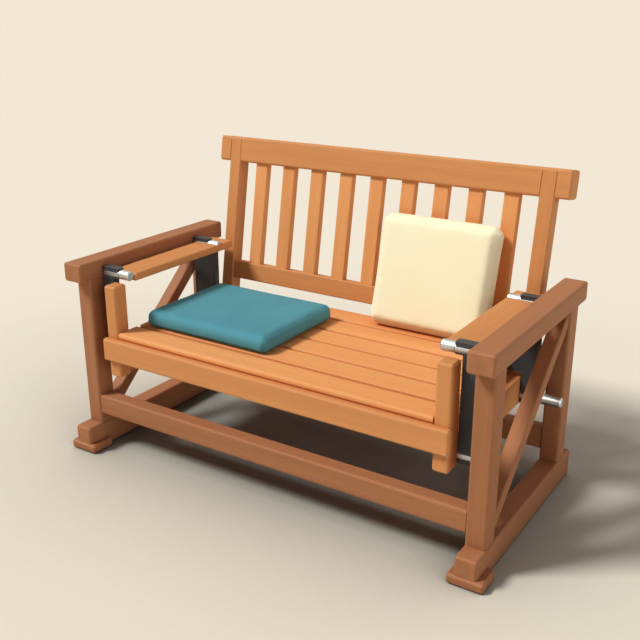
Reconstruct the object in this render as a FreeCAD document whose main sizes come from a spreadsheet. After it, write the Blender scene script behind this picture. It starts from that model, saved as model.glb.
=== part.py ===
import FreeCAD, Part
import math
import os
import re

# Glider bench: a standing base of two end frames, a seat that hangs from it on four hangers,
# a box cushion and a pillow. Millimetres and degrees. Widths are measured from the middle of the
# bench, depths from the front of the foot pads and heights from the floor.
SIZES = {
    # whole bench
    "half_width": 726,
    "edge_round": 8,
    "slat_round": 5,
    "nose_round": 9,
    "end_bevel": 5,
    "fit_gap": 0.05,
    "glide_angle": 6,
    "swing_gap": 2.2,
    # base end frames
    "arm_height": 645,
    "rail_width": 74,
    "rail_height": 60,
    "rail_past_front": 42,
    "rail_past_rear": 40,
    "post_width": 58,
    "post_depth": 66,
    "post_inset": 9,
    "front_post": 64,
    "tenon_length": 20,
    "tenon_shoulder": 12,
    "beam_width": 63,
    "beam_height": 86,
    "beam_inset": 5,
    "beam_front": 5,
    "beam_past_rear": 49,
    "pad_width": 105,
    "pad_length": 85,
    "pad_height": 29,
    "pad_overhang": 17,
    "pad_bevel": 6,
    "stretcher_depth": 52,
    "stretcher_height": 68,
    "stretcher_bottom": 118,
    "stretcher_set": 3,
    "brace_width": 40,
    "brace_thick": 44,
    "brace_start": 7,
    "brace_end": 61,
    # armrests, fixed beside the arm rails
    "armrest_width": 100,
    "armrest_gap": 16,
    "armrest_drop": 3,
    "armrest_thick": 26,
    "notch_gap": 4.5,
    "spacer_length": 60,
    "spacer_height": 18,
    "spacer_first": 92,
    "spacer_second": 292,
    "dowel_radius": 5,
    "dowel_depth": 25,
    # pivots and hangers
    "pivot_rise": 18,
    "pivot_under_seat": 116,
    "front_pin_edge": 8,
    "rear_pin_edge": 58.5,
    "pin_height": 31,
    "pin_radius": 8,
    "head_radius": 15.5,
    "head_bevel": 3,
    "pin_set": 4,
    "pin_depth": 48,
    "seat_pin_depth": 37,
    "pin_proud": 11,
    "side_gap": 2,
    "hanger_thick": 28,
    "hanger_width": 46,
    "hanger_gap": 2,
    "hanger_rail_gap": 3,
    "hanger_head_width": 68,
    "hanger_bevel": 3,
    "hanger_reach": 20,
    "hanger_foot": 22,
    "head_drop": 13,
    "panel_gap": 18,
    "panel_width": 93,
    "panel_top_gap": 4,
    "cheek": 6,
    # seat
    "seat_height": 426,
    "slat_thick": 21,
    "slat_width": 89,
    "slat_gap": 10.4,
    "slat_front": 66,
    "slat_end_gap": 2,
    "seat_post_width": 47,
    "seat_post_depth": 53,
    "seat_post_front": 66,
    "seat_post_drop": 7,
    "seat_post_gap": 4,
    "apron_thick": 19,
    "apron_inside": 26,
    "apron_past": 6,
    "apron_height": 74,
    "side_rail_height": 88,
    "bearer_thick": 35,
    "bearer_height": 60,
    "rear_rail_depth": 26,
    # back, measured in its leaning plane upwards and backwards from the level of the seat
    "back_angle": 9.46,
    "slat_tuck": 3.4,
    "back_post_width": 47,
    "back_post_thick": 53,
    "top_rail_past": 46,
    "top_rail_low": 457,
    "top_rail_height": 87,
    "top_rail_thick": 68,
    "low_rail_low": 37,
    "low_rail_height": 63,
    "low_rail_set": 6,
    "low_rail_thick": 40,
    "back_slat_width": 51,
    "back_slat_thick": 26,
    "back_slat_edge": 86.8,
    "back_slat_set": 12,
    "housing": 15,
    "lap_height": 77,
    "lap_depth": 26,
    # soft goods
    "cushion_end": 27,
    "cushion_width": 483,
    "cushion_front": 158,
    "cushion_depth": 391,
    "cushion_thick": 55,
    "cushion_corner": 28,
    "cushion_fullness": 12,
    "pillow_end": 80,
    "pillow_width": 408,
    "pillow_height": 370,
    "pillow_thick": 72,
    "pillow_corner": 46,
    "pillow_fullness": 6,
    "pillow_tilt": 5.5,
    "rest_gap": 0.3,
}
SLATS = 6
BACK_SLATS = 9
# Turn of a soft form's crown at its sections, from upright at the seam to nearly flat on top.
CROWN_TURNS = (0, 12, 24, 36, 48, 60, 72)
# Share of the seam's height, and share of the corner by which the outline is drawn in there below the seam.
UNDERSIDE = ((0.0, 0.35), (0.15, 0.19), (0.5, 0.11))

# Places that follow from the sizes.
RAKE = "back_angle * 1deg"
DERIVED = {
    "rail_inner": "half_width - rail_width",
    "rail_bottom": "arm_height - rail_height",
    "rail_front": "front_post - rail_past_front",
    "post_outer": "half_width - post_inset",
    "post_inner": "post_outer - post_width",
    "rear_post": "rear_pivot + head_radius + glide + swing_gap",
    "beam_outer": "half_width - beam_inset",
    "beam_inner": "beam_outer - beam_width",
    "pad_outer": "half_width + pad_overhang",
    "pad_inner": "pad_outer - pad_width",
    "brace_run": "rear_post - front_post - post_depth",
    "brace_rise": "rail_bottom - brace_end - beam_height - brace_start",
    "brace_middle": "post_outer - post_width / 2",
    "armrest_outer": "rail_inner - armrest_gap",
    "armrest_inner": "armrest_outer - armrest_width",
    "armrest_bottom": "rail_bottom - armrest_drop",
    "armrest_middle": "armrest_bottom + armrest_thick / 2",
    "armrest_front": "front_pivot + hanger_thick / 2 + notch_gap",
    "armrest_rear": "back_foot + (armrest_bottom - seat_height) * tan(%s) - glide - swing_gap" % RAKE,
    "top_pivot": "rail_bottom + pivot_rise",
    "low_pivot": "seat_height - pivot_under_seat",
    "pivot_drop": "top_pivot - low_pivot",
    "glide": "pivot_drop * sin(glide_angle * 1deg)",
    "front_pivot": "seat_post_rear + front_pin_edge",
    "rear_pivot": "back_foot - (seat_height - low_pivot) * tan(%s) - rear_pin_edge" % RAKE,
    "pin_inner": "armrest_inner + pin_set",
    "pin_outer": "rail_inner + pin_depth",
    "pin_seat": "seat_half - seat_pin_depth",
    "hanger_outer": "rail_inner - hanger_rail_gap",
    "hanger_inner": "hanger_outer - hanger_width",
    "seat_half": "hanger_inner - hanger_gap",
    "hanger_shoulder": "hanger_outer - hanger_head_width",
    "hanger_bottom": "low_pivot - hanger_foot",
    "hanger_top": "top_pivot + hanger_reach",
    "panel_bottom": "side_rail_top + panel_gap",
    "panel_top": "armrest_bottom - panel_top_gap",
    "sleeve_end": "hanger_outer - cheek",
    "seat_post_rear": "seat_post_front + seat_post_depth",
    "seat_post_inner": "seat_half - seat_post_width",
    "side_rail_bottom": "low_pivot - pin_height",
    "side_rail_top": "side_rail_bottom + side_rail_height",
    "slat_bottom": "seat_height - slat_thick",
    "slat_pitch": "slat_width + slat_gap",
    "slat_rear": "slat_front + %d * slat_pitch - slat_gap" % SLATS,
    "bearer_bottom": "slat_bottom - bearer_height",
    "rear_rail_front": "back_foot - (seat_height - bearer_bottom) * tan(%s) - rear_rail_depth" % RAKE,
    "back_foot": "slat_rear - slat_tuck",
    "back_post_inner": "seat_half - back_post_width",
    "back_post_low": "(seat_height - side_rail_bottom) / cos(%s)" % RAKE,
    "low_rail_top": "low_rail_low + low_rail_height",
    "top_rail_half": "seat_half + top_rail_past",
    "back_slat_pitch": "(back_post_inner - back_slat_edge) / %d" % (BACK_SLATS // 2),
    "cushion_left": "back_post_inner - cushion_end",
    "pillow_left": "back_post_inner - pillow_end - pillow_width",
    "pillow_lean": "back_angle + pillow_tilt",
    "pillow_low": "seat_height + rest_gap - pillow_thick / 2 * sin(pillow_lean * 1deg)",
    "pillow_top_edge": "(pillow_height - %g * pillow_corner) * sin(pillow_tilt * 1deg)" % UNDERSIDE[0][1],
    "pillow_rear": "back_foot + (back_slat_set - rest_gap - pillow_top_edge) / cos(%s)"
                   " + (pillow_low - seat_height) * tan(%s)" % (RAKE, RAKE),
    "overall_depth": "back_foot + (top_rail_thick - edge_round) * cos(%s)"
                     " + (top_rail_low + top_rail_height - edge_round) * sin(%s) + edge_round" % (RAKE, RAKE),
}
SIDES = (("right", 1), ("left", -1))
ENDS = (("front", "front_post", "front_pivot"), ("rear", "rear_post", "rear_pivot"))
SPACERS = ("spacer_first", "spacer_second")
ORIGIN = ("0", "0", "0")

doc = FreeCAD.newDocument("glider_bench")
sheet = doc.addObject("Spreadsheet::Sheet", "sizes")
for row, (alias, number) in enumerate(SIZES.items(), 1):
    sheet.set("A%d" % row, alias)
    sheet.set("B%d" % row, str(number))
    sheet.setAlias("B%d" % row, alias)
doc.recompute()
parts = {}


def size(alias):
    """Number that the sheet holds under a name."""
    return float(getattr(sheet, alias))


def cells(text):
    """Formula with its names turned into cells of the sheet."""
    return re.sub(r"[a-z][a-z_]+", cell, text)


def cell(word):
    name = word.group()
    if name in DERIVED:
        return "(%s)" % cells(DERIVED[name])
    return "sizes." + name if name in SIZES else name


def bind(piece, prop, text):
    """Drive one property by a formula of named sizes."""
    piece.setExpression(prop, cells(text))


def move(piece, point):
    for axis, text in zip("xyz", point):
        bind(piece, "Placement.Base." + axis, text)


def turn(piece, axis, angle):
    """Turn a piece about an axis through its own origin by a formula in degrees."""
    piece.Placement = FreeCAD.Placement(FreeCAD.Vector(), FreeCAD.Rotation(FreeCAD.Vector(*axis), 45))
    bind(piece, "Placement.Rotation.Angle", angle)


def lean(piece):
    turn(piece, (-1, 0, 0), RAKE)


def back_point(across, depth, height):
    """Bench coordinates of a point given in the back's leaning plane."""
    return (
        across,
        "back_foot + (%s) * cos(%s) + (%s) * sin(%s)" % (depth, RAKE, height, RAKE),
        "seat_height - (%s) * sin(%s) + (%s) * cos(%s)" % (depth, RAKE, height, RAKE),
    )


def box(name, extent, corner):
    block = doc.addObject("Part::Box", name)
    for prop, text in zip(("Length", "Width", "Height"), extent):
        bind(block, prop, text)
    move(block, corner)
    return block


def rod(name, radius, length, start):
    """Round bar along the width, from its start toward the right."""
    bar = doc.addObject("Part::Cylinder", name)
    bind(bar, "Radius", radius)
    bind(bar, "Height", length)
    bar.Placement = FreeCAD.Placement(FreeCAD.Vector(), FreeCAD.Rotation(FreeCAD.Vector(0, 1, 0), 90))
    move(bar, start)
    return bar


def from_corner(point, corner):
    return ["(%s) - (%s)" % pair for pair in zip(point, corner)]


def span(sign, near, far):
    """Left end of a stretch between two distances from the middle, on the right or on the left."""
    return near if sign > 0 else "-(%s)" % far


def pocket(extent, corner):
    """Square tongue or hole, made once the corner of its piece is known."""
    return lambda name, origin: box(name, extent, from_corner(corner, origin))


def bore(radius, sign, near, far, depth, height):
    """Round hole along the width between two distances from the middle, made like a pocket."""
    start = (span(sign, near, far), depth, height)
    length = "(%s) - (%s)" % (far, near)
    return lambda name, origin: rod(name, radius, length, from_corner(start, origin))


def edges_along(shape, along):
    axis = {"x": FreeCAD.Vector(1, 0, 0), "y": FreeCAD.Vector(0, 1, 0), "z": FreeCAD.Vector(0, 0, 1)}
    for number, edge in enumerate(shape.Edges, 1):
        run = edge.tangentAt(edge.FirstParameter)
        if abs(run.dot(axis[along])) > 0.99:
            yield number


def ease(blank, along, radius):
    """Round the edges of a blank that run along one axis."""
    blank.recompute(True)
    eased = doc.addObject("Part::Fillet", blank.Name + "_eased")
    eased.Base = blank
    eased.Edges = [(number, size(radius), size(radius)) for number in edges_along(blank.Shape, along)]
    return eased


def bevel(blank, numbers, width):
    """Bevel the numbered edges of a blank."""
    bevelled = doc.addObject("Part::Chamfer", blank.Name + "_bevelled")
    bevelled.Base = blank
    bevelled.Edges = [(number, size(width), size(width)) for number in numbers]
    return bevelled


def bevel_ends(bar, along, width):
    """Bevel the edges round both ends of a bar that runs along one axis."""
    bar.recompute(True)
    run = along.upper() + "Length"
    level = [number for number, edge in enumerate(bar.Shape.Edges, 1) if getattr(edge.BoundBox, run) < 0.01]
    return bevel(bar, level, width)


def join(pieces, name):
    joined = doc.addObject("Part::MultiFuse", name)
    joined.Shapes = pieces
    joined.Refine = True
    return joined


def drill(piece, holes, name, corner):
    """Cut the holes, given in bench coordinates, out of a piece that still lies at its own origin."""
    tools = [make("%s_hole_%d" % (name, number), corner) for number, make in enumerate(holes)]
    drilled = doc.addObject("Part::Cut", name + "_drilled")
    drilled.Base = piece
    drilled.Tool = join(tools, name + "_holes") if len(tools) > 1 else tools[0]
    return drilled


def stand(piece, corner):
    across, depth, height = corner
    move(piece, (across, "%s - overall_depth / 2" % depth, height))


def finish(piece, label):
    piece.Label = label
    parts[label] = piece


def finish_group(pieces, label):
    group = doc.addObject("Part::Compound", label + "_group")
    group.Links = pieces
    finish(group, label)


def timber(label, extent, corner, along, radius="edge_round", ends="", tenons=(), holes=()):
    """Bar eased along its length, with bevelled ends, tenons and holes where it has them."""
    piece = ease(box(label + "_blank", extent, ORIGIN), along, radius)
    if ends:
        piece = bevel_ends(piece, along, ends)
    if tenons:
        tongues = [make("%s_tenon_%d" % (label, number), corner) for number, make in enumerate(tenons)]
        piece = join([piece] + tongues, label + "_tenoned")
    if holes:
        piece = drill(piece, holes, label, corner)
    stand(piece, corner)
    finish(piece, label)
    return piece


def leaning_timber(label, extent, corner, **more):
    """Bar of the back: its corner, tenons and holes are given in the back's leaning plane."""
    piece = timber(label, extent, corner, **more)
    lean(piece)
    stand(piece, back_point(*corner))


def stretcher_tongue(sign, post):
    """Tenon of a stretcher, which is also the mortise in the post."""
    extent = ("tenon_length", "stretcher_depth - 2 * tenon_shoulder", "stretcher_height - 2 * tenon_shoulder")
    start = span(sign, "post_inner", "post_inner + tenon_length")
    depth = "%s + stretcher_set + tenon_shoulder" % post
    return pocket(extent, (start, depth, "stretcher_bottom + tenon_shoulder"))


def post_tongue(sign, post, height):
    """Tenon at an end of a post, which is also the mortise in the rail or beam."""
    extent = ("post_width - 2 * tenon_shoulder", "post_depth - 2 * tenon_shoulder", "tenon_length")
    start = span(sign, "post_inner + tenon_shoulder", "post_outer - tenon_shoulder")
    return pocket(extent, (start, "%s + tenon_shoulder" % post, height))


def foot(side, sign):
    """Foot beam, rebated at the front over the pad that widens its stance."""
    rebate = pocket(
        ("3 * pad_width", "2 * pad_length", "2 * pad_height"),
        (span(sign, "pad_inner - pad_width", "pad_outer + pad_width"), "-pad_length", "-pad_height"),
    )
    timber(
        "foot_beam_" + side,
        ("beam_width", "rear_post + post_depth + beam_past_rear - beam_front", "beam_height"),
        (span(sign, "beam_inner", "beam_outer"), "beam_front", "0"),
        "y",
        ends="end_bevel",
        holes=[rebate] + [post_tongue(sign, post, "beam_height - tenon_length") for _, post, _ in ENDS],
    )
    timber(
        "foot_pad_" + side,
        ("pad_width", "pad_length", "pad_height"),
        (span(sign, "pad_inner", "pad_outer"), "0", "0"),
        "z",
        ends="pad_bevel",
    )


def base_posts(side, sign):
    for end, post, _ in ENDS:
        timber(
            "base_post_%s_%s" % (end, side),
            ("post_width", "post_depth", "rail_bottom - beam_height"),
            (span(sign, "post_inner", "post_outer"), post, "beam_height"),
            "z",
            tenons=[
                post_tongue(sign, post, "beam_height - tenon_length"),
                post_tongue(sign, post, "rail_bottom"),
            ],
            holes=[stretcher_tongue(sign, post)],
        )


def arm_rail(side, sign):
    """Top rail of an end frame, mortised for the posts and bored for the pivot pins and dowels."""
    holes = [post_tongue(sign, post, "rail_bottom") for _, post, _ in ENDS]
    for _, _, pivot in ENDS:
        pin_end = "pin_outer + fit_gap"
        holes.append(bore("pin_radius + fit_gap", sign, "rail_inner", pin_end, pivot, "top_pivot"))
    for spacer in SPACERS:
        depth = "armrest_front + %s + spacer_length / 2" % spacer
        dowel_end = "rail_inner + dowel_depth"
        holes.append(bore("dowel_radius + fit_gap", sign, "rail_inner", dowel_end, depth, "armrest_middle"))
    timber(
        "arm_rail_" + side,
        ("rail_width", "rear_post + post_depth + rail_past_rear - rail_front", "rail_height"),
        (span(sign, "rail_inner", "half_width"), "rail_front", "rail_bottom"),
        "y",
        ends="end_bevel",
        holes=holes,
    )


def brace(side, sign):
    """Sloping brace, sawn off plumb where it meets the two posts."""
    slope = "atan((brace_rise) / (brace_run))"
    name = "brace_" + side
    bar = ease(box(name + "_blank", ("brace_thick", "3 * brace_run", "brace_width"), ORIGIN), "y", "slat_round")
    turn(bar, (1, 0, 0), slope)
    move(bar, ("0", "-brace_run * cos(%s)" % slope, "-brace_run * sin(%s)" % slope))
    bay = box(name + "_bay", ("brace_thick", "brace_run", "6 * brace_run"), ("0", "0", "-3 * brace_run"))
    sawn = doc.addObject("Part::Common", name + "_sawn")
    sawn.Base = bar
    sawn.Tool = bay
    start = span(sign, "brace_middle - brace_thick / 2", "brace_middle + brace_thick / 2")
    stand(sawn, (start, "front_post + post_depth", "beam_height + brace_start"))
    finish(sawn, name)


def armrest(side, sign):
    """Armrest, notched round the rear hanger and grooved for the head of its pin."""
    notch_half = "(hanger_thick / 2 + notch_gap)"
    notch = pocket(
        ("half_width", "2 * %s" % notch_half, "3 * armrest_thick"),
        (span(sign, "hanger_shoulder - side_gap", "hanger_shoulder - side_gap + half_width"),
         "rear_pivot - %s" % notch_half, "armrest_bottom - armrest_thick"),
    )
    groove_start = "pin_inner - pin_set / 2"
    groove_radius = "head_radius + fit_gap"
    groove_round = bore(groove_radius, sign, groove_start, "hanger_shoulder", "rear_pivot", "top_pivot")
    groove_mouth = pocket(
        ("hanger_shoulder - (%s)" % groove_start, "2 * (head_radius + fit_gap)", "armrest_thick"),
        (span(sign, groove_start, "hanger_shoulder"), "rear_pivot - head_radius - fit_gap", "top_pivot"),
    )
    sockets = [
        bore("dowel_radius + fit_gap", sign, "armrest_outer - dowel_depth", "armrest_outer",
             "armrest_front + %s + spacer_length / 2" % spacer, "armrest_middle")
        for spacer in SPACERS
    ]
    timber(
        "armrest_" + side,
        ("armrest_width", "armrest_rear - armrest_front", "armrest_thick"),
        (span(sign, "armrest_inner", "armrest_outer"), "armrest_front", "armrest_bottom"),
        "y",
        ends="end_bevel",
        holes=[notch, groove_round, groove_mouth] + sockets,
    )


def spacer_block(side, sign, spacer):
    """Block between armrest and arm rail, with the hole of its dowel."""
    name = "%s_%s" % (spacer, side)
    corner = (
        span(sign, "armrest_outer", "rail_inner"),
        "armrest_front + %s" % spacer,
        "armrest_middle - spacer_height / 2",
    )
    hole = bore("dowel_radius + fit_gap", sign, "armrest_outer", "rail_inner",
                "%s + spacer_length / 2" % corner[1], "armrest_middle")
    block = box(name + "_block", ("armrest_gap", "spacer_length", "spacer_height"), ORIGIN)
    drilled = drill(block, [hole], name, corner)
    stand(drilled, corner)
    return drilled


def dowel(side, sign, spacer):
    near, far = "armrest_outer - dowel_depth", "rail_inner + dowel_depth"
    peg = rod("%s_dowel_%s" % (spacer, side), "dowel_radius", "(%s) - (%s)" % (far, near), ORIGIN)
    stand(peg, (span(sign, near, far), "armrest_front + %s + spacer_length / 2" % spacer, "armrest_middle"))
    return peg


def pin(name, sign, head, shank, depth, height):
    """Headed pivot pin, bevelled at the free end of its head."""
    near, far = (head[0], shank[1]) if head[0] == "pin_inner" else (shank[0], head[1])
    corner = (span(sign, near, far), depth, height)
    head_length = "(%s) - (%s)" % (head[1], head[0])
    head_start = from_corner((span(sign, *head), depth, height), corner)
    knob = rod(name + "_head", "head_radius", head_length, head_start)
    knob.recompute(True)
    rims = [
        (edge.CenterOfMass.x, number)
        for number, edge in enumerate(knob.Shape.Edges, 1)
        if isinstance(edge.Curve, Part.Circle)
    ]
    free_on_left = (head[0] == "pin_inner") == (sign > 0)
    rim = min(rims)[1] if free_on_left else max(rims)[1]
    bevelled = bevel(knob, [rim], "head_bevel")
    stem_length = "(%s) - (%s)" % (shank[1], shank[0])
    stem_start = from_corner((span(sign, *shank), depth, height), corner)
    stem = rod(name + "_stem", "pin_radius", stem_length, stem_start)
    whole = join([bevelled, stem], name)
    stand(whole, corner)
    return whole


def hanger(end, side, sign, pivot):
    """Hanger with a broad head for the upper sleeve; a rear one widens to a panel under the armrest."""
    label = "hanger_%s_%s" % (end, side)
    corner = (span(sign, "hanger_shoulder", "hanger_outer"), "%s - hanger_thick / 2" % pivot, "hanger_bottom")
    web = pocket(
        ("hanger_outer - hanger_inner", "hanger_thick", "hanger_top - hanger_bottom"),
        (span(sign, "hanger_inner", "hanger_outer"), corner[1], corner[2]),
    )
    head = pocket(
        ("hanger_head_width", "hanger_thick", "hanger_top - (top_pivot - head_drop)"),
        (corner[0], corner[1], "top_pivot - head_drop"),
    )
    pieces = [web(label + "_web", corner), head(label + "_head", corner)]
    if end == "rear":
        panel = pocket(
            ("panel_width", "hanger_thick", "panel_top - panel_bottom"),
            (span(sign, "hanger_outer - panel_width", "hanger_outer"), corner[1], "panel_bottom"),
        )
        pieces.append(panel(label + "_panel", corner))
    blank = join(pieces, label + "_blank")
    holes = [
        bore("head_radius + fit_gap", sign, "hanger_shoulder", "sleeve_end", pivot, "top_pivot"),
        bore("head_radius + fit_gap", sign, "hanger_inner", "sleeve_end", pivot, "low_pivot"),
        bore("pin_radius + fit_gap", sign, "sleeve_end", "hanger_outer", pivot, "top_pivot"),
        bore("pin_radius + fit_gap", sign, "sleeve_end", "hanger_outer", pivot, "low_pivot"),
    ]
    blank.recompute(True)
    bevelled = bevel(blank, edges_along(blank.Shape, "z"), "hanger_bevel")
    piece = drill(bevelled, holes, label, corner)
    stand(piece, corner)
    finish(piece, label)


def sleeve(name, sign, near, pivot, height):
    """Steel bush in a hanger, a little wider than the hanger is thick."""
    corner = (span(sign, near, "sleeve_end"), pivot, height)
    tube = rod(name + "_tube", "head_radius", "sleeve_end - %s" % near, ORIGIN)
    hole = bore("pin_radius + fit_gap", sign, near, "sleeve_end", pivot, height)
    bush = drill(tube, [hole], name, corner)
    stand(bush, corner)
    return bush


def seat_side(side, sign):
    """Front post and side rail of the seat; the rail ends against the leaning back post."""
    foot_level = "side_rail_bottom - seat_post_drop"
    timber(
        "seat_post_" + side,
        ("seat_post_width", "seat_post_depth", "armrest_bottom - seat_post_gap - (%s)" % foot_level),
        (span(sign, "seat_post_inner", "seat_half"), "seat_post_front", foot_level),
        "z",
        ends="end_bevel",
    )
    corner = (span(sign, "seat_post_inner", "seat_half"), "seat_post_rear", "side_rail_bottom")

    def behind_back_line(name, origin):
        start = back_point(span(sign, "0", "2 * seat_half"), "0", "-2 * seat_height")
        beyond = box(name, ("2 * seat_half", "seat_height", "4 * seat_height"), ORIGIN)
        lean(beyond)
        move(beyond, from_corner(start, origin))
        return beyond

    pin_holes = [
        bore("pin_radius + fit_gap", sign, "pin_seat - fit_gap", "seat_half", pivot, "low_pivot")
        for _, _, pivot in ENDS
    ]
    timber(
        "side_rail_" + side,
        ("seat_post_width", "back_foot - seat_post_rear", "side_rail_height"),
        corner,
        "y",
        radius="slat_round",
        holes=[behind_back_line] + pin_holes,
    )


def behind_apron_end(sign):
    """What is cut from the back of the apron where its end lies on the front of a seat post."""
    extent = ("seat_post_width + 2 * apron_past", "2 * apron_inside", "2 * apron_height")
    start = span(sign, "seat_post_inner", "seat_half + 2 * apron_past")
    return pocket(extent, (start, "seat_post_front", "slat_bottom - 1.5 * apron_height"))


def seat_deck():
    """Apron, stout between the seat posts, bearers, rear rail and the slats on top of them."""
    timber(
        "apron",
        ("2 * (seat_half + apron_past)", "apron_thick + apron_inside", "apron_height"),
        ("-seat_half - apron_past", "seat_post_front - apron_thick", "slat_bottom - apron_height"),
        "x",
        ends="end_bevel",
        holes=[behind_apron_end(sign) for _, sign in SIDES],
    )
    timber(
        "rear_seat_rail",
        ("2 * seat_post_inner", "rear_rail_depth", "bearer_height"),
        ("-seat_post_inner", "rear_rail_front", "bearer_bottom"),
        "x",
        radius="slat_round",
    )
    bearers = []
    for name, start in (
        ("left", "-seat_post_inner"),
        ("middle", "-bearer_thick / 2"),
        ("right", "seat_post_inner - bearer_thick"),
    ):
        front = "seat_post_front + apron_inside"
        length = "rear_rail_front - (%s)" % front
        bearer = box("bearer_" + name, ("bearer_thick", length, "bearer_height"), ORIGIN)
        stand(bearer, (start, front, "bearer_bottom"))
        bearers.append(bearer)
    finish_group(bearers, "slat_bearers")
    for number in range(SLATS):
        timber(
            "seat_slat_%d" % (number + 1),
            ("2 * (back_post_inner - slat_end_gap)", "slat_width", "slat_thick"),
            ("slat_end_gap - back_post_inner", "slat_front + %d * slat_pitch" % number, "slat_bottom"),
            "x",
            radius="nose_round" if number == 0 else "slat_round",
        )


def back_post_lap(sign):
    """Notch in the front of the top rail, in which the thinned end of a back post lies flush."""
    extent = ("back_post_width", "lap_depth", "lap_height")
    return pocket(extent, (span(sign, "back_post_inner", "seat_half"), "0", "top_rail_low"))


def behind_lap(sign):
    """What is sawn off a back post behind its lap."""
    extent = ("back_post_width + 2 * housing", "back_post_thick", "2 * lap_height")
    start = span(sign, "back_post_inner - housing", "seat_half + housing")
    return pocket(extent, (start, "lap_depth", "top_rail_low"))


def low_rail_tongue(sign):
    """End of the lower back rail, housed in a back post."""
    extent = ("housing", "low_rail_thick", "low_rail_height")
    start = span(sign, "back_post_inner", "back_post_inner + housing")
    return pocket(extent, (start, "low_rail_set", "low_rail_low"))


def back_frame():
    """Leaning posts, top rail, lower rail and the upright slats housed between the rails."""
    low, high = "low_rail_top - housing", "top_rail_low + housing"
    slat_extent = ("back_slat_width", "back_slat_thick", "%s - (%s)" % (high, low))
    slat_corners = [
        ("%g * back_slat_pitch - back_slat_width / 2" % (number - (BACK_SLATS - 1) / 2), "back_slat_set", low)
        for number in range(BACK_SLATS)
    ]
    for number, corner in enumerate(slat_corners, 1):
        leaning_timber("back_slat_%d" % number, slat_extent, corner, along="z", radius="slat_round")
    slat_housings = [pocket(slat_extent, corner) for corner in slat_corners]
    for side, sign in SIDES:
        leaning_timber(
            "back_post_" + side,
            ("back_post_width", "back_post_thick", "top_rail_low + lap_height + back_post_low"),
            (span(sign, "back_post_inner", "seat_half"), "0", "-back_post_low"),
            along="z",
            radius="slat_round",
            holes=[low_rail_tongue(sign), behind_lap(sign)],
        )
    leaning_timber(
        "top_rail",
        ("2 * top_rail_half", "top_rail_thick", "top_rail_height"),
        ("-top_rail_half", "0", "top_rail_low"),
        along="x",
        ends="end_bevel",
        holes=slat_housings + [back_post_lap(sign) for _, sign in SIDES],
    )
    leaning_timber(
        "lower_back_rail",
        ("2 * back_post_inner", "low_rail_thick", "low_rail_height"),
        ("-back_post_inner", "low_rail_set", "low_rail_low"),
        along="x",
        radius="slat_round",
        tenons=[low_rail_tongue(sign) for _, sign in SIDES],
        holes=slat_housings,
    )


def outline(width, depth, corner, inset, height):
    """Rounded rectangle of lines and quarter arcs, drawn in from the full outline."""
    left, front = inset, inset
    right, rear = width - inset, depth - inset
    bend = corner * 0.7071
    stops = (
        ((left + corner, front), (right - corner, front), (right - corner + bend, front + corner - bend)),
        ((right, front + corner), (right, rear - corner), (right - corner + bend, rear - corner + bend)),
        ((right - corner, rear), (left + corner, rear), (left + corner - bend, rear - corner + bend)),
        ((left, rear - corner), (left, front + corner), (left + corner - bend, front + corner - bend)),
    )
    edges = []
    for number, (start, end, middle) in enumerate(stops):
        after = stops[(number + 1) % len(stops)][0]
        points = [FreeCAD.Vector(x, y, height) for x, y in (start, end, middle, after)]
        edges.append(Part.LineSegment(points[0], points[1]).toShape())
        edges.append(Part.Arc(points[1], points[2], points[3]).toShape())
    return Part.Wire(edges)


def soft_form(label, length):
    """Stuffed form: drawn-in sides on a flat underside, and a crown that rises from the seam."""
    width, depth, thick, corner, fullness = [
        size("%s_%s" % (label, name)) for name in ("width", length, "thick", "corner", "fullness")
    ]
    seam = thick / 2
    half = min(width, depth) / 2
    top = math.sin(math.radians(CROWN_TURNS[-1]))
    levels = [(share * seam, drawn * corner) for share, drawn in UNDERSIDE]
    for angle in CROWN_TURNS:
        rise = math.sin(math.radians(angle)) / top
        inset = half * (1 - math.cos(math.radians(angle)) ** (2 / fullness))
        levels.append((seam + (thick - seam) * rise, inset))
    wires = [outline(width, depth, corner, inset, height) for height, inset in levels]
    form = doc.addObject("Part::Feature", label)
    form.Shape = Part.makeLoft(wires, True, True)
    finish(form, label)
    return form


for side, sign in SIDES:
    foot(side, sign)
    base_posts(side, sign)
    arm_rail(side, sign)
    brace(side, sign)
    armrest(side, sign)
    seat_side(side, sign)
for end, post, _ in ENDS:
    timber(
        "stretcher_" + end,
        ("2 * post_inner", "stretcher_depth", "stretcher_height"),
        ("-post_inner", "%s + stretcher_set" % post, "stretcher_bottom"),
        "x",
        tenons=[stretcher_tongue(sign, post) for _, sign in SIDES],
    )
for make, label in ((spacer_block, "armrest_spacers"), (dowel, "armrest_dowels")):
    finish_group([make(side, sign, spacer) for side, sign in SIDES for spacer in SPACERS], label)

for end, _, pivot in ENDS:
    upper_head = ("pin_inner", "hanger_shoulder - side_gap")
    upper_shank = ("hanger_shoulder - side_gap", "pin_outer")
    lower_end = "post_inner - swing_gap" if end == "front" else "post_outer + pin_proud"
    lower_head = ("hanger_outer + side_gap", lower_end)
    lower_shank = ("pin_seat", "hanger_outer + side_gap")
    finish_group(
        [pin("upper_pin_%s_%s" % (end, side), sign, upper_head, upper_shank, pivot, "top_pivot")
         for side, sign in SIDES],
        "upper_pins_" + end,
    )
    finish_group(
        [pin("lower_pin_%s_%s" % (end, side), sign, lower_head, lower_shank, pivot, "low_pivot")
         for side, sign in SIDES],
        "lower_pins_" + end,
    )
    for side, sign in SIDES:
        hanger(end, side, sign, pivot)
        place = "%s_%s" % (end, side)
        finish_group(
            [sleeve("upper_sleeve_" + place, sign, "hanger_shoulder", pivot, "top_pivot"),
             sleeve("lower_sleeve_" + place, sign, "hanger_inner", pivot, "low_pivot")],
            "sleeves_" + place,
        )

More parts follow.
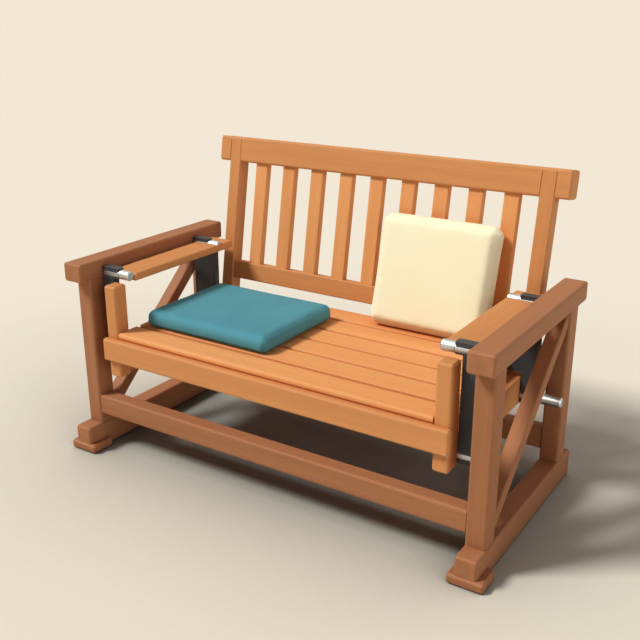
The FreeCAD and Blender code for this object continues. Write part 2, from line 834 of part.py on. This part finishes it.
seat_deck()
back_frame()
cushion = soft_form("cushion", "depth")
stand(cushion, ("-cushion_left", "cushion_front", "seat_height + rest_gap"))
pillow = soft_form("pillow", "height")
turn(pillow, (1, 0, 0), "90deg - pillow_lean * 1deg")
stand(pillow, ("pillow_left", "pillow_rear", "pillow_low"))

doc.recompute()
for piece in doc.Objects:
    if "Invalid" in piece.State or "Error" in piece.State:
        raise RuntimeError("%s failed: %s" % (piece.Name, piece.State))
for label, piece in parts.items():
    if piece.Shape.isNull() or not piece.Shape.isValid() or not piece.Shape.Solids:
        raise RuntimeError("%s has no valid solid" % label)
os.makedirs("parts", exist_ok=True)
for label, piece in parts.items():
    piece.Shape.exportStep("parts/%s.step" % label)
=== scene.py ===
"""Looks of the glider bench: stained wood, painted hangers, turned steel, a seat cushion and a pillow."""
import math

import bmesh
import bpy
from mathutils import Matrix, Vector


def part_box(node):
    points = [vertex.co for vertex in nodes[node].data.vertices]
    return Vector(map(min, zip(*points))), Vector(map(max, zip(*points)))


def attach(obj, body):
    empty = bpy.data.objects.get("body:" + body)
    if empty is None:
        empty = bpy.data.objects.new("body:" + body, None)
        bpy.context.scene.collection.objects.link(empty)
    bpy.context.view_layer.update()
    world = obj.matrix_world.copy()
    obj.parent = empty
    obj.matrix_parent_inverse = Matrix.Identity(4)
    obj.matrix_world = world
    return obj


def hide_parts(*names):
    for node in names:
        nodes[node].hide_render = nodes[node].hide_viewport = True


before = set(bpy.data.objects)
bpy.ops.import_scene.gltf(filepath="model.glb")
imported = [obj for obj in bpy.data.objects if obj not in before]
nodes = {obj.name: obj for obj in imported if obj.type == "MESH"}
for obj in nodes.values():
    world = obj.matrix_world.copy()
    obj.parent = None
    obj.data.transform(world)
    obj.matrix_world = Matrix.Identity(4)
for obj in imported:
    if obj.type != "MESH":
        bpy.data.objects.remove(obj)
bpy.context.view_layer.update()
scene = bpy.context.scene

# Bench: height of the seat in metres, and lean of the back and the pillow in degrees.
SEAT_TOP = 0.426
BACK_LEAN = 9.46
PILLOW_LEAN = 14.96
UP = Vector((0, 0, 1))

# Covers, in metres: clearance where they rest, and width of their turned-over edges.
REST_GAP = 0.0008
CUSHION_EDGE = 0.016
PILLOW_EDGE = 0.024
SEAT_PLANE = (UP * (SEAT_TOP + REST_GAP), UP)

# Stuffing: spacing of the cloth's points, furthest move of a point, and how it is filled and smoothed.
VOXEL = 0.006
STUFFING_REACH = 0.004
STUFFING_PRESSURE = 4.0
STUFFING_FRAMES = 20
RELAX_ROUNDS = 2

# Welts: radius in metres, and height of the cushion's welt as a share of its thickness.
WELT_RADIUS = 0.0011
CUSHION_WELT = 0.30

# Cloth, in metres: width of a thread, size of a slub, and how far painted shade reaches from what it rests
# on.
THREAD = 0.0016
SLUB = (0.05, 0.004, 0.05)
CONTACT_SHADE_REACH = 0.06
CONTACT_SHADE_SHARE = 0.7

# Wood, in metres: length of each feature along the grain and its size across, edges paler from wear and a
# painted highlight, and painted shade in the joints.
BOARD = (1.6, 0.11, 0.11)
FIGURE = (0.55, 0.022, 0.022)
FIBRE = (0.12, 0.0022, 0.0022)
PORE = (0.018, 0.0007, 0.0007)
WOOD_EDGE = 0.007
JOINT_SHADE_REACH = 0.07
BOARD_SHARE = 0.45
EDGE_WEAR_AND_HIGHLIGHT_SHARE = 0.15
JOINT_SHADE_SHARE = 0.36

# Paint and steel, in metres: rubbed edges of the hangers, and rings of the lathe along the pins.
PAINT_EDGE = 0.004
LATHE_RING = (0.0007, 0.4, 0.4)

# Floor, in metres: a wide disc just under the feet, how far its painted shade reaches around the bench, and
# where it passes into the backdrop between two distances.
FLOOR_RADIUS = 60
FLOOR_DROP = 0.0006
FLOOR_SHADE_REACH = 0.9
FADE_START = 1.35
FADE_END = 2.4

# Camera: place and aim in metres, lens and sensor in millimetres.
CAMERA_PLACE = Vector((1.43141, -2.22642, 1.43103))
CAMERA_AIM = Vector((0, -0.01047, 0.48223))
LENS = 50.474
SENSOR = 36

# Lamps: name, direction that it shines from, strength, spread in degrees, and colour.
WHITE = (1.0, 1.0, 1.0)
COOL = (0.93, 1.0, 1.1)
LAMPS = (
    ("key_lamp", (-0.498, -0.456, 0.737), 2.92, 14, WHITE),
    ("top_lamp", (0.0, 0.10, 1.0), 0.36, 70, WHITE),
    ("right_lamp", (0.90, -0.28, 0.25), 0.68, 40, COOL),
    ("back_lamp", (0.25, 0.90, 0.30), 0.22, 60, WHITE),
)
SKY_STRENGTH = 0.06


def paint(red, green, blue):
    """Colour from screen values of 0 to 255, as the shaders take it."""
    def linear(value):
        share = value / 255
        return share / 12.92 if share <= 0.04045 else ((share + 0.055) / 1.055) ** 2.4
    return (linear(red), linear(green), linear(blue), 1.0)


SKY = paint(255, 255, 255)
BACKDROP = paint(242, 232, 213)
FLOOR, FLOOR_SHADE = paint(242, 232, 213), paint(32, 62, 68)
BASE_PALE, BASE_DEEP = paint(174, 115, 75), paint(160, 103, 65)
SLAT_PALE, SLAT_DEEP = paint(238, 165, 101), paint(227, 153, 90)
FRAME_PALE, FRAME_DEEP = paint(218, 148, 88), paint(206, 137, 79)
CHARCOAL, CHARCOAL_WORN = paint(54, 56, 58), paint(84, 83, 82)
STEEL, STEEL_DULL = paint(208, 210, 211), paint(186, 188, 190)
# The third colour of each cloth is painted shade, laid on where the cloth rests against other pieces.
TEAL, TEAL_DEEP, TEAL_SHADED = paint(87, 156, 168), paint(75, 140, 152), paint(68, 130, 142)
CREAM, CREAM_DEEP, CREAM_SHADED = paint(255, 251, 216), paint(254, 244, 201), paint(222, 188, 148)


class Finish:
    """A material with its nodes, for building one surface finish."""

    def __init__(self, name):
        self.material = bpy.data.materials.new(name)
        self.material.use_nodes = True
        self.tree = self.material.node_tree
        self.tree.nodes.clear()
        self.output = self.add("ShaderNodeOutputMaterial")
        self.place = self.add("ShaderNodeTexCoord").outputs["Object"]

    def add(self, kind, **settings):
        """New node of a kind, with its settings."""
        node = self.tree.nodes.new(kind)
        for key, value in settings.items():
            setattr(node, key, value)
        return node

    def put(self, socket, value):
        """Link another node's output to a socket, or set a constant on it."""
        if isinstance(value, bpy.types.NodeSocket):
            self.tree.links.new(value, socket)
        else:
            socket.default_value = value

    def feed(self, node, **values):
        """Put values on the named inputs of a node; an underscore stands for a space."""
        for key, value in values.items():
            self.put(node.inputs[key.replace("_", " ")], value)
        return node

    def stretched(self, lengths, turned=(0, 0, 0)):
        """Coordinates of a pattern with features of these lengths, turned to lie along its piece."""
        mapping = self.add("ShaderNodeMapping", vector_type="TEXTURE")
        self.feed(mapping, Vector=self.place, Rotation=turned, Scale=lengths)
        return mapping.outputs["Vector"]

    def outward(self, turned):
        """How far the surface faces along each axis of a turned pattern, from 0 to 1."""
        normal = self.add("ShaderNodeTexCoord").outputs["Normal"]
        mapping = self.add("ShaderNodeMapping", vector_type="TEXTURE")
        self.feed(mapping, Vector=normal, Rotation=turned)
        sizes = self.add("ShaderNodeVectorMath", operation="ABSOLUTE")
        self.put(sizes.inputs[0], mapping.outputs["Vector"])
        parts = self.add("ShaderNodeSeparateXYZ")
        self.put(parts.inputs[0], sizes.outputs["Vector"])
        return parts.outputs

    def noise(self, place, scale=1.0, detail=3.0, rough=0.5, bent=0.0):
        """Cloudy pattern around 0.5."""
        noise = self.add("ShaderNodeTexNoise")
        self.feed(noise, Vector=place, Scale=scale, Detail=detail, Roughness=rough, Distortion=bent)
        return noise.outputs["Fac"]

    def ranged(self, value, low=0.3, high=0.7, to_low=0.0, to_high=1.0):
        """Smooth step of a value from one range to another; noise lies mostly between 0.3 and 0.7."""
        step = self.add("ShaderNodeMapRange", interpolation_type="SMOOTHSTEP")
        for socket, setting in zip(step.inputs, (value, low, high, to_low, to_high)):
            self.put(socket, setting)
        return step.outputs[0]

    def worked_out(self, operation, first, second):
        node = self.add("ShaderNodeMath", operation=operation)
        self.put(node.inputs[0], first)
        self.put(node.inputs[1], second)
        return node.outputs[0]

    def plus(self, first, second):
        return self.worked_out("ADD", first, second)

    def times(self, first, second):
        return self.worked_out("MULTIPLY", first, second)

    def larger(self, first, second):
        return self.worked_out("MAXIMUM", first, second)

    def blend(self, share, first, second, mode="MIX"):
        """Mix of two colours."""
        mix = self.add("ShaderNodeMix", data_type="RGBA", blend_type=mode)
        for socket, value in ((mix.inputs[0], share), (mix.inputs[6], first), (mix.inputs[7], second)):
            self.put(socket, value)
        return mix.outputs[2]

    def edges(self, reach):
        """Share of the outer edges: 0 on flats and near 1 on the outer edges of a piece; it marks worn
        edges, and on wood also a painted highlight.
        """
        hidden = self.add("ShaderNodeAmbientOcclusion", inside=True, only_local=True, samples=6)
        self.feed(hidden, Distance=reach)
        return self.ranged(hidden.outputs["AO"], 0.35, 0.95, 1.0, 0.0)

    def painted_shade(self, reach):
        """Share of painted shade, from ambient occlusion: 0 in the open and near 1 deep in the joints
        between pieces.
        """
        around = self.add("ShaderNodeAmbientOcclusion", samples=8)
        self.feed(around, Distance=reach)
        return self.ranged(around.outputs["AO"], 0.25, 0.95, 1.0, 0.0)

    def bumped(self, height, strength, distance):
        """Fine relief of the surface."""
        bump = self.add("ShaderNodeBump")
        self.feed(bump, Height=height, Strength=strength, Distance=distance)
        return bump.outputs["Normal"]

    def surface(self, **values):
        """Finished material with these inputs of its shader."""
        shader = self.feed(self.add("ShaderNodeBsdfPrincipled"), **values)
        self.put(self.output.inputs["Surface"], shader.outputs[0])
        return self.material


def wood(name, pale, deep, turned):
    """Stained and satin-varnished wood: soft figure, fibres and pores, edges paler from wear and a painted
    highlight, and painted shade in the joints.
    """
    finish = Finish(name)
    board = finish.noise(finish.stretched(BOARD, turned), detail=1.0)
    figure = finish.noise(finish.stretched(FIGURE, turned), detail=4.0, bent=0.5)
    fibre = finish.noise(finish.stretched(FIBRE, turned), detail=2.0)
    pores = finish.noise(finish.stretched(PORE, turned), detail=1.0)
    tone = finish.plus(finish.times(board, BOARD_SHARE), finish.times(figure, 1 - BOARD_SHARE))
    colour = finish.blend(finish.ranged(tone), deep, pale)
    dark_fibres = finish.ranged(fibre, 0.5, 0.75, to_high=0.12)
    dark_pores = finish.ranged(pores, 0.6, 0.72, to_high=0.22)
    colour = finish.blend(finish.plus(dark_fibres, dark_pores), colour, deep, "MULTIPLY")
    # Paler edges: partly wear, partly a painted highlight along the rounded edges.
    colour = finish.blend(finish.times(finish.edges(WOOD_EDGE), EDGE_WEAR_AND_HIGHLIGHT_SHARE), colour, pale)
    # Painted shade: the wood darkens in the joints and close under other pieces, by ambient occlusion.
    joint_shade = finish.times(finish.painted_shade(JOINT_SHADE_REACH), JOINT_SHADE_SHARE)
    colour = finish.blend(joint_shade, colour, deep, "MULTIPLY")
    gloss = finish.ranged(figure, to_low=0.62, to_high=0.74)
    return finish.surface(
        Base_Color=colour, Roughness=gloss, Specular_IOR_Level=0.35,
        Normal=finish.bumped(finish.plus(fibre, pores), strength=0.08, distance=0.0005),
    )


def charcoal_paint():
    """Dark satin paint with a fine orange peel and edges rubbed paler."""
    finish = Finish("charcoal_paint")
    peel = finish.noise(finish.place, scale=900.0, detail=1.0)
    dust = finish.noise(finish.place, scale=14.0, detail=5.0)
    worn = finish.times(finish.edges(PAINT_EDGE), finish.ranged(dust, 0.35, 0.65, 0.15, 0.7))
    return finish.surface(
        Base_Color=finish.blend(worn, CHARCOAL, CHARCOAL_WORN),
        Roughness=finish.ranged(dust, to_low=0.42, to_high=0.56), Specular_IOR_Level=0.4,
        Normal=finish.bumped(peel, strength=0.12, distance=0.0003),
    )


def turned_steel():
    """Bright steel with the fine rings of the lathe along the pins, and smudges."""
    finish = Finish("turned_steel")
    rings = finish.noise(finish.stretched(LATHE_RING), detail=2.0)
    smudge = finish.noise(finish.place, scale=40.0, detail=3.0)
    return finish.surface(
        Base_Color=finish.blend(finish.ranged(rings), STEEL_DULL, STEEL), Metallic=1.0,
        Roughness=finish.ranged(smudge, to_low=0.32, to_high=0.42),
        Normal=finish.bumped(rings, strength=0.02, distance=0.0001),
    )


def woven_cloth(name, pale, deep, shaded, turned):
    """Plain-woven cover: threads that cross on every side, slubs, a soft sheen, and painted shade where it
    rests.
    """
    finish = Finish(name)
    across = finish.stretched((THREAD, THREAD, THREAD), turned)
    ribs = []
    for direction, outward in zip("XYZ", finish.outward(turned)):
        wave = finish.add("ShaderNodeTexWave", bands_direction=direction)
        finish.feed(wave, Vector=across, Scale=0.32, Distortion=0.4, Detail=1.0)
        ribs.append(finish.larger(wave.outputs["Fac"], finish.ranged(outward, 0.45, 0.75)))
    weave = finish.times(finish.times(ribs[0], ribs[1]), ribs[2])
    slub = finish.noise(finish.stretched(SLUB, turned), detail=3.0)
    cloud = finish.noise(finish.place, scale=9.0, detail=3.0)
    tone = finish.plus(finish.times(weave, 0.4), finish.times(slub, 0.3))
    tone = finish.plus(tone, finish.times(cloud, 0.5))
    colour = finish.blend(finish.ranged(tone, 0.2, 0.8), deep, pale)
    # Painted shade: the cloth darkens towards its shaded colour where it rests on or near other pieces.
    colour = finish.blend(finish.times(finish.painted_shade(CONTACT_SHADE_REACH), CONTACT_SHADE_SHARE), colour, shaded)
    return finish.surface(
        Base_Color=colour, Roughness=finish.ranged(weave, 0.0, 1.0, 0.92, 0.78), Specular_IOR_Level=0.2,
        Sheen_Weight=0.06, Sheen_Roughness=0.5, Normal=finish.bumped(weave, strength=0.25, distance=0.0005),
    )


def turn_about(axis, angle):
    """Turn by an angle in degrees about one axis."""
    return Matrix.Rotation(math.radians(angle), 3, axis)


def brace_slope():
    """Angle of the sloping braces above level."""
    low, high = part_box("brace_left")
    return math.degrees(math.atan2(high.z - low.z, high.y - low.y))


# Turns that lay a pattern's length along a piece.
ACROSS = (0, 0, 0)
UPRIGHT = turn_about("Y", -90).to_euler()
LEANING = (turn_about("X", -BACK_LEAN) @ turn_about("Y", -90)).to_euler()
DEEPWAYS = turn_about("Z", 90).to_euler()
SLOPING = (turn_about("X", brace_slope()) @ turn_about("Z", 90)).to_euler()
PILLOW_FRONT = turn_about("X", 90 - PILLOW_LEAN).to_euler()

base_woods = {
    "across": wood("base_wood_across", BASE_PALE, BASE_DEEP, ACROSS),
    "deepways": wood("base_wood_deepways", BASE_PALE, BASE_DEEP, DEEPWAYS),
    "upright": wood("base_wood_upright", BASE_PALE, BASE_DEEP, UPRIGHT),
    "sloping": wood("base_wood_sloping", BASE_PALE, BASE_DEEP, SLOPING),
}
slat_woods = {
    "across": wood("slat_wood_across", SLAT_PALE, SLAT_DEEP, ACROSS),
    "leaning": wood("slat_wood_leaning", SLAT_PALE, SLAT_DEEP, LEANING),
}
seat_woods = {
    "across": wood("seat_wood_across", FRAME_PALE, FRAME_DEEP, ACROSS),
    "deepways": wood("seat_wood_deepways", FRAME_PALE, FRAME_DEEP, DEEPWAYS),
    "upright": wood("seat_wood_upright", FRAME_PALE, FRAME_DEEP, UPRIGHT),
    "leaning": wood("seat_wood_leaning", FRAME_PALE, FRAME_DEEP, LEANING),
}
hanger_paint = charcoal_paint()
pin_steel = turned_steel()
cushion_cloth = woven_cloth("cushion_cloth", TEAL, TEAL_DEEP, TEAL_SHADED, ACROSS)
pillow_cloth = woven_cloth("pillow_cloth", CREAM, CREAM_DEEP, CREAM_SHADED, PILLOW_FRONT)

# Finish of each node, by the start of its name.
FINISHES = (
    (("seat_slat_",), slat_woods["across"]),
    (("back_slat_",), slat_woods["leaning"]),
    (("apron", "rear_seat_rail", "lower_back_rail", "top_rail"), seat_woods["across"]),
    (("armrest_spacers", "armrest_dowels"), base_woods["across"]),
    (("armrest_left", "armrest_right", "side_rail_", "slat_bearers"), seat_woods["deepways"]),
    (("seat_post_",), seat_woods["upright"]),
    (("back_post_",), seat_woods["leaning"]),
    (("stretcher_",), base_woods["across"]),
    (("foot_beam_", "foot_pad_", "arm_rail_"), base_woods["deepways"]),
    (("base_post_",), base_woods["upright"]),
    (("brace_",), base_woods["sloping"]),
    (("hanger_",), hanger_paint),
    (("upper_pins_", "lower_pins_", "sleeves_"), pin_steel),
    (("cushion",), cushion_cloth),
    (("pillow",), pillow_cloth),
)


def finish_frame():
    """Give every node of the frame its finish."""
    for name, piece in nodes.items():
        found = [finish for starts, finish in FINISHES if name.startswith(starts)]
        piece.data.materials.clear()
        piece.data.materials.append(found[0])


def new_piece(name, mesh):
    """Object with this mesh, at the origin."""
    piece = bpy.data.objects.new(name, mesh)
    scene.collection.objects.link(piece)
    return piece


def mesh_from(form, name):
    """Mesh of a finished bmesh form."""
    mesh = bpy.data.meshes.new(name)
    form.to_mesh(mesh)
    form.free()
    return mesh


def apply_modifiers(piece):
    """Make a piece's modified shape its own mesh."""
    bpy.context.view_layer.update()
    shaped = piece.evaluated_get(bpy.context.evaluated_depsgraph_get())
    mesh = bpy.data.meshes.new_from_object(shaped)
    piece.modifiers.clear()
    piece.data = mesh


def boxed_cover(node, name, lean, edge):
    """Closed cover cut as a box round a soft node that leans back, with its edges turned over."""
    turn = Matrix.Rotation(math.radians(-lean), 4, "X")
    spots = [turn.inverted() @ vertex.co for vertex in nodes[node].data.vertices]
    low = Vector([min(spot[axis] for spot in spots) for axis in range(3)])
    high = Vector([max(spot[axis] for spot in spots) for axis in range(3)])
    form = bmesh.new()
    bmesh.ops.create_cube(form, size=1.0)
    bmesh.ops.scale(form, vec=high - low, verts=form.verts)
    bmesh.ops.bevel(
        form, geom=form.edges[:], offset=edge, affect="EDGES", segments=1, profile=0.5, material=-1,
    )
    bmesh.ops.translate(form, vec=(low + high) / 2, verts=form.verts)
    bmesh.ops.transform(form, matrix=turn, verts=form.verts)
    bmesh.ops.recalc_face_normals(form, faces=form.faces)
    return new_piece(name, mesh_from(form, name))


def stuff(piece):
    """Fill a cover by cloth simulation; no point moves further than the stuffing's reach."""
    remesh = piece.modifiers.new("even_weave", "REMESH")
    remesh.mode = "VOXEL"
    remesh.voxel_size = VOXEL
    apply_modifiers(piece)
    start = [vertex.co.copy() for vertex in piece.data.vertices]
    cloth = piece.modifiers.new("stuffing", "CLOTH")
    cloth.settings.use_pressure = True
    cloth.settings.uniform_pressure_force = STUFFING_PRESSURE
    cloth.settings.effector_weights.gravity = 0
    for number in range(1, STUFFING_FRAMES + 1):
        scene.frame_set(number)
    apply_modifiers(piece)
    scene.frame_set(1)
    for vertex, origin in zip(piece.data.vertices, start):
        shift = vertex.co - origin
        if shift.length > STUFFING_REACH:
            vertex.co = origin + shift * (STUFFING_REACH / shift.length)


def relax(piece):
    """Smooth out the small puckers of a stuffed cover."""
    form = bmesh.new()
    form.from_mesh(piece.data)
    for _ in range(RELAX_ROUNDS):
        bmesh.ops.smooth_vert(
            form, verts=form.verts, factor=0.5, use_axis_x=True, use_axis_y=True, use_axis_z=True,
        )
    form.to_mesh(piece.data)
    form.free()


def press(piece, planes):
    """Press a stuffed piece flat against what it rests on, each plane a point and an outward normal."""
    for point, normal in planes:
        for vertex in piece.data.vertices:
            depth = (vertex.co - point).dot(normal)
            if depth < 0:
                vertex.co -= normal * depth


def soften(piece):
    """One smooth subdivision over the simulated cover."""
    rounding = piece.modifiers.new("soft_cover", "SUBSURF")
    rounding.levels = 1
    rounding.render_levels = 1
    apply_modifiers(piece)
    piece.data.shade_smooth()


def sewn_welt(piece, point, normal):
    """Thin welt where a plane cuts a stuffed piece."""
    name = piece.name + "_welt"
    form = bmesh.new()
    form.from_mesh(piece.data)
    everything = form.verts[:] + form.edges[:] + form.faces[:]
    cut = bmesh.ops.bisect_plane(form, geom=everything, plane_co=point, plane_no=normal)["geom_cut"]
    kept = {part for part in cut if isinstance(part, bmesh.types.BMEdge)}
    bmesh.ops.delete(form, geom=[edge for edge in form.edges if edge not in kept], context="EDGES")
    bmesh.ops.delete(form, geom=[vert for vert in form.verts if not vert.link_edges], context="VERTS")
    welt = new_piece(name, mesh_from(form, name))
    bpy.context.view_layer.objects.active = welt
    bpy.ops.object.select_all(action="DESELECT")
    welt.select_set(True)
    bpy.ops.object.convert(target="CURVE")
    welt.data.bevel_depth = WELT_RADIUS
    welt.data.bevel_resolution = 2
    bpy.ops.object.convert(target="MESH")
    welt.data.shade_smooth()
    return welt


def dress_soft(piece, node, cloth, welt):
    """Finish a stuffed piece and its welt, and let the piece stand for the soft node."""
    for part in (piece, welt):
        part.data.materials.clear()
        part.data.materials.append(cloth)
        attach(part, "seat")
    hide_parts(node)


def seat_cushion():
    """Flat cushion that lies on the seat."""
    low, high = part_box("cushion")
    piece = boxed_cover("cushion", "seat_cushion", 0, CUSHION_EDGE)
    stuff(piece)
    relax(piece)
    press(piece, [SEAT_PLANE])
    soften(piece)
    welt = sewn_welt(piece, UP * (low.z + CUSHION_WELT * (high.z - low.z)), UP)
    dress_soft(piece, "cushion", cushion_cloth, welt)


def facing(lean):
    """Direction that the front of a leaning piece faces."""
    turn = math.radians(lean)
    return Vector((0, -math.cos(turn), math.sin(turn)))


def back_pillow():
    """Pillow that stands on the seat and leans on the back slats."""
    low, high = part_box("pillow")
    back_face = facing(BACK_LEAN)
    corners = [vertex.co.copy() for vertex in nodes["back_slat_5"].data.vertices]
    slat_front = max(corners, key=lambda corner: corner.dot(back_face))
    piece = boxed_cover("pillow", "back_pillow", PILLOW_LEAN, PILLOW_EDGE)
    stuff(piece)
    relax(piece)
    press(piece, [SEAT_PLANE, (slat_front + back_face * REST_GAP, back_face)])
    soften(piece)
    welt = sewn_welt(piece, (low + high) / 2, facing(PILLOW_LEAN))
    dress_soft(piece, "pillow", pillow_cloth, welt)


def floor_finish():
    """Pale matt floor with painted shade under and around the bench, that passes into the plain backdrop
    away from it.
    """
    finish = Finish("floor")
    # Painted shade: the floor's colour goes towards FLOOR_SHADE where the bench hides the sky, by ambient
    # occlusion.
    open_sky = finish.add("ShaderNodeAmbientOcclusion", samples=16)
    finish.feed(open_sky, Distance=FLOOR_SHADE_REACH)
    colour = finish.blend(open_sky.outputs["AO"], FLOOR_SHADE, FLOOR)
    far = finish.add("ShaderNodeVectorMath", operation="LENGTH")
    finish.put(far.inputs[0], finish.place)
    away = finish.ranged(far.outputs["Value"], FADE_START, FADE_END)
    path = finish.add("ShaderNodeLightPath")
    seen = finish.larger(path.outputs["Is Camera Ray"], path.outputs["Is Glossy Ray"])
    seen = finish.larger(seen, path.outputs["Is Transmission Ray"])
    matt = finish.feed(finish.add("ShaderNodeBsdfDiffuse"), Color=colour)
    glow = finish.feed(finish.add("ShaderNodeEmission"), Color=BACKDROP, Strength=1.0)
    mix = finish.add("ShaderNodeMixShader")
    for socket, value in zip(mix.inputs, (finish.times(away, seen), matt.outputs[0], glow.outputs[0])):
        finish.put(socket, value)
    finish.put(finish.output.inputs["Surface"], mix.outputs[0])
    return finish.material


def lay_floor():
    """Wide round floor under the bench."""
    form = bmesh.new()
    bmesh.ops.create_circle(form, cap_ends=True, segments=96, radius=FLOOR_RADIUS)
    bmesh.ops.translate(form, vec=(0, 0, -FLOOR_DROP), verts=form.verts)
    floor = new_piece("floor", mesh_from(form, "floor"))
    floor.data.materials.append(floor_finish())


def hang_lamp(name, toward, strength, spread, colour):
    """Distant lamp that shines from the given direction."""
    lamp = bpy.data.lights.new(name, "SUN")
    lamp.energy = strength
    lamp.angle = math.radians(spread)
    lamp.color = colour
    holder = bpy.data.objects.new(name, lamp)
    holder.rotation_euler = Vector(toward).to_track_quat("Z", "Y").to_euler()
    scene.collection.objects.link(holder)


def light_room():
    """Even sky that shows as the backdrop to the camera and in gloss."""
    world = bpy.data.worlds.new("studio")
    scene.world = world
    world.use_nodes = True
    tree = world.node_tree
    tree.nodes.clear()
    output = tree.nodes.new("ShaderNodeOutputWorld")
    mix = tree.nodes.new("ShaderNodeMixShader")
    path = tree.nodes.new("ShaderNodeLightPath")
    seen = tree.nodes.new("ShaderNodeMath")
    seen.operation = "MAXIMUM"
    tree.links.new(path.outputs["Is Camera Ray"], seen.inputs[0])
    tree.links.new(path.outputs["Is Glossy Ray"], seen.inputs[1])
    tree.links.new(seen.outputs[0], mix.inputs[0])
    for socket, colour, strength in zip(mix.inputs[1:], (SKY, BACKDROP), (SKY_STRENGTH, 1.0)):
        sky = tree.nodes.new("ShaderNodeBackground")
        sky.inputs["Color"].default_value = colour
        sky.inputs["Strength"].default_value = strength
        tree.links.new(sky.outputs[0], socket)
    tree.links.new(mix.outputs[0], output.inputs["Surface"])


def place_camera():
    """Camera at the right front, a little above the bench."""
    eye = bpy.data.cameras.new("front_view")
    eye.lens = LENS
    eye.sensor_width = SENSOR
    holder = bpy.data.objects.new("front_view", eye)
    holder.location = CAMERA_PLACE
    holder.rotation_euler = (CAMERA_AIM - CAMERA_PLACE).to_track_quat("-Z", "Y").to_euler()
    scene.collection.objects.link(holder)
    scene.camera = holder


place_camera()
finish_frame()
seat_cushion()
back_pillow()
lay_floor()
for lamp in LAMPS:
    hang_lamp(*lamp)
light_room()
scene.view_settings.view_transform = "Standard"
